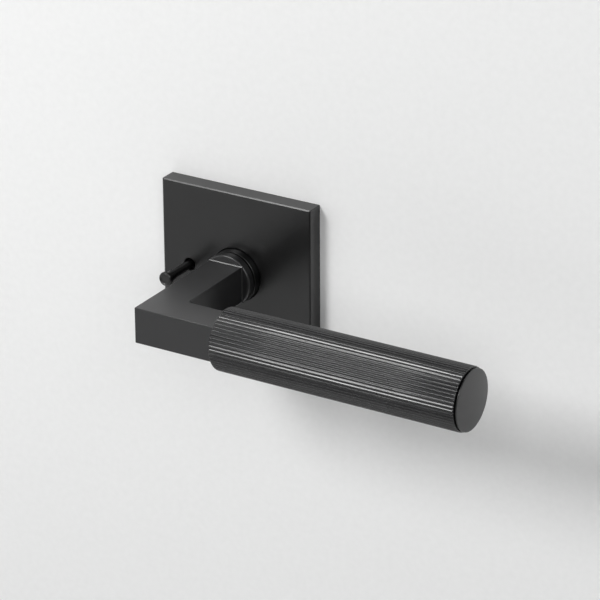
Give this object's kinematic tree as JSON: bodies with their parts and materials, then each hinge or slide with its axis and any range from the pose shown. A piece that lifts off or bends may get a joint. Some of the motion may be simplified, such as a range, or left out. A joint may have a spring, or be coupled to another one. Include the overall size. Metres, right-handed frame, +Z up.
{
  "type": "door lever handle",
  "caption": "Square-rose door lever with an L-shaped square arm, a straight-reeded round grip, a sprung square spindle and a push-pin for privacy.",
  "frame": {"origin": "where the spindle's axis crosses the face of the door", "axes": "+X along the grip away from the rose, +Y into the door along the spindle, +Z up"},
  "size_m": [0.1643, 0.1173, 0.0662],
  "materials": {
    "black_finish": "satin black powder coat",
    "zinc_steel": "zinc plated",
    "spring_steel": "oiled spring steel",
    "nylon": "black nylon"
  },
  "bodies": {
    "rose": {"rose_cover": "black_finish", "rose_collar": "black_finish", "mounting_plate": "zinc_steel", "spring_housing": "zinc_steel", "return_spring": "spring_steel", "pin_guide": "nylon", "rose_set_screw": "spring_steel", "mounting_bolt_upper": "zinc_steel", "mounting_bolt_lower": "zinc_steel", "housing_screw_upper": "zinc_steel", "housing_screw_lower": "zinc_steel", "neck_bearing": "nylon"},
    "lever": {"lever_arm": "black_finish", "grip_sleeve": "black_finish", "end_cap": "black_finish", "grip_end_plug": "zinc_steel", "grip_tie_washer": "zinc_steel", "grip_tie_screw": "zinc_steel", "drive_hub": "zinc_steel", "hub_circlip": "spring_steel", "spindle": "zinc_steel", "lever_set_screw": "spring_steel"},
    "privacy_pin": {"pin_head": "black_finish", "pin_rod": "black_finish", "pin_clip": "spring_steel"}
  },
  "joints": [
    {"name": "lever_turn", "type": "hinge", "parent": "rose", "child": "lever", "pos_m": [0, 0, 0], "axis": [0, 1, 0], "range_deg": [0, 50], "stiffness_Nm_per_rad": 0.8, "springref_deg": -42.97, "deforming": ["return_spring"]},
    {"name": "privacy_pin_push", "type": "slide", "parent": "rose", "child": "privacy_pin", "axis": [0, 1, 0], "range_m": [0, 0.006]}
  ]
}
